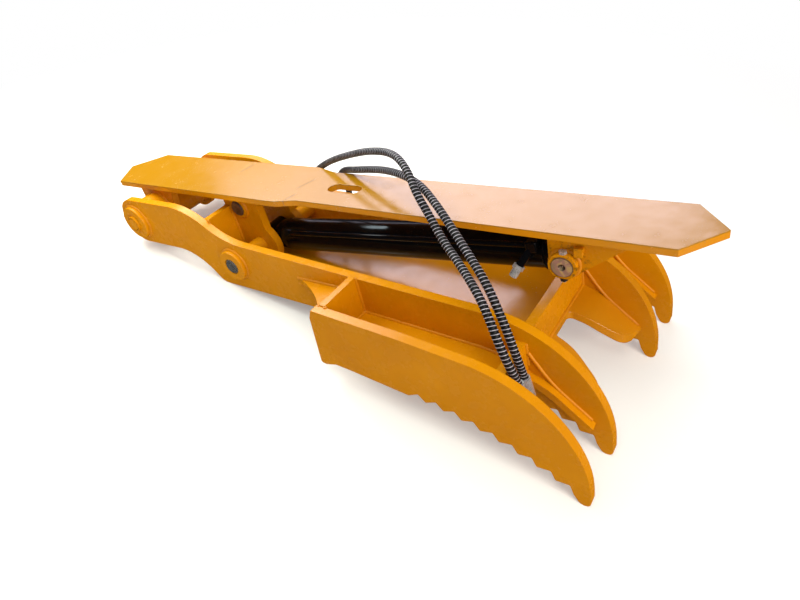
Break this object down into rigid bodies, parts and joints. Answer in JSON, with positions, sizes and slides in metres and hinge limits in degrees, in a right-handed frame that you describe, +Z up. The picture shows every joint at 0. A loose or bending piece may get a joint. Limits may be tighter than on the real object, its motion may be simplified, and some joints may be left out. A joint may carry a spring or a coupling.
{
  "type": "excavator thumb",
  "caption": "Weld-on hydraulic thumb: long base plate, pivoting tined frame with toothed edges, cylinder and two loose hoses.",
  "frame": {"origin": "On the ground under the middle of the part, hoses left out", "axes": "X along the base plate from its head to its tail, Y across to the far side, Z up"},
  "size_m": [1.5718, 0.554, 0.4388],
  "materials": {
    "orange_paint": "gloss",
    "black_paint": "gloss",
    "bare_steel": "machined",
    "zinc_yellow": "yellow zinc plate",
    "bright_zinc": "bright zinc plate",
    "chrome_rod": "polished",
    "bronze": "machined",
    "hose_rubber": "ribbed plastic guard over rubber",
    "seal": "moulded"
  },
  "bodies": {
    "root": {"base_plate": "orange_paint", "front_ear_near": "orange_paint", "front_ear_far": "orange_paint", "hub_tube": "orange_paint", "hub_bushes": "bronze", "rear_ear_near": "orange_paint", "rear_ear_far": "orange_paint", "rear_collar_near": "orange_paint", "rear_collar_far": "orange_paint", "rear_pin": "zinc_yellow", "keeper_bolt": "bright_zinc", "keeper_nut": "bright_zinc", "pin_stop_block": "orange_paint", "hose_a": "hose_rubber", "hose_a_fittings": "bright_zinc", "hose_b": "hose_rubber", "hose_b_fittings": "bright_zinc"},
    "thumb": {"side_plate_near": "orange_paint", "side_plate_far": "orange_paint", "outer_tine_near": "orange_paint", "outer_tine_far": "orange_paint", "deck_plate": "orange_paint", "box_floor_near": "orange_paint", "box_floor_far": "orange_paint", "front_cross_plate": "orange_paint", "outer_cross_plate_near": "orange_paint", "outer_cross_plate_far": "orange_paint", "box_cross_plate_near": "orange_paint", "box_cross_plate_far": "orange_paint", "corner_gusset_near": "orange_paint", "corner_gusset_far": "orange_paint", "lug_near": "orange_paint", "lug_far": "orange_paint", "lug_webs": "orange_paint", "lock_plugs": "bare_steel", "main_collars": "orange_paint", "link_collars": "orange_paint", "main_pin": "orange_paint", "link_pin_near": "bare_steel", "link_pin_far": "bare_steel"},
    "barrel": {"barrel_tube": "black_paint", "gland": "black_paint", "rod_wiper": "seal", "rod_seal": "seal", "base_cap": "black_paint", "base_eye_bush": "bare_steel", "rod_end_port": "black_paint", "hard_line": "black_paint", "port_block": "black_paint", "port_adapter": "bright_zinc", "base_port": "black_paint", "base_adapter": "bright_zinc"},
    "rod": {"rod": "chrome_rod", "piston": "bare_steel", "piston_seal": "seal", "rod_nut": "bare_steel", "rod_eye": "black_paint", "rod_eye_bush": "bare_steel", "link_pin_centre": "bare_steel"}
  },
  "joints": [
    {"name": "thumb_fold", "type": "hinge", "parent": "root", "child": "thumb", "pos_m": [-0.58429, 0, 0.08625], "axis": [0, 1, 0], "range_deg": [0, 100]},
    {"name": "barrel_swing", "type": "hinge", "parent": "root", "child": "barrel", "pos_m": [0.56051, 0, 0.32301], "axis": [0, 1, 0], "range_deg": [-12, 0.5]},
    {"name": "rod_travel", "type": "slide", "parent": "barrel", "child": "rod", "axis": [-0.9552, 0, -0.296], "range_m": [0, 0.54]}
  ],
  "couplings": [
    {"joint": "barrel_swing", "follows": "thumb_fold", "ratio": -0.090433},
    {"joint": "rod_travel", "follows": "thumb_fold", "m_per_rad": 0.30877}
  ]
}
